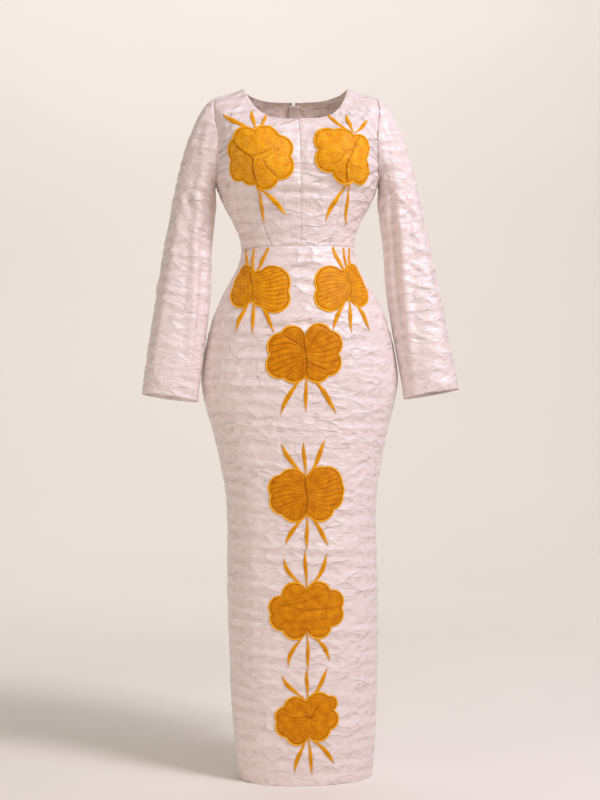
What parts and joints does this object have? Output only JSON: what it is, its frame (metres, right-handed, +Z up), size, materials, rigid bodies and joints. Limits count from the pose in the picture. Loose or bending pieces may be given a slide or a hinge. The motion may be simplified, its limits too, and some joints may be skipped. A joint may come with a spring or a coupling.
{
  "type": "maxi dress",
  "caption": "Long fitted long-sleeved dress of white damask with a scooped neck, a waist seam and embroidered golden flower appliques down the front.",
  "frame": {"origin": "midway between the inner ends of the shoulder seams, where the dress hangs on its wearer", "axes": "+Z up, from hem to neck; +X towards the viewer's right when the front faces the viewer; the front looks along -Y"},
  "size_m": [0.6436, 0.278, 1.403],
  "materials": {
    "damask": "satin",
    "satin": "satin",
    "tape": "matte",
    "metal": "polished"
  },
  "bodies": {
    "dress": {"bodice_front_l": "damask", "bodice_front_r": "damask", "bodice_side_l": "damask", "bodice_side_r": "damask", "bodice_back_l": "damask", "bodice_back_r": "damask", "sleeve_l": "damask", "sleeve_r": "damask", "skirt_front": "damask", "skirt_back_l": "damask", "skirt_back_r": "damask", "flower_bust_l": "satin", "flower_bust_r": "satin", "flower_hip_l": "satin", "flower_hip_r": "satin", "flower_centre_1": "satin", "flower_centre_2": "satin", "flower_centre_3": "satin", "flower_centre_4": "satin", "zip_tape": "tape", "zip_slider": "metal"},
    "pull": {"zip_pull": "metal"}
  },
  "joints": [
    {"name": "pull_tab", "type": "hinge", "parent": "dress", "child": "pull", "pos_m": [0, 0.08024, -0.02469], "axis": [1, 0, 0], "range_deg": [0, 170]}
  ]
}
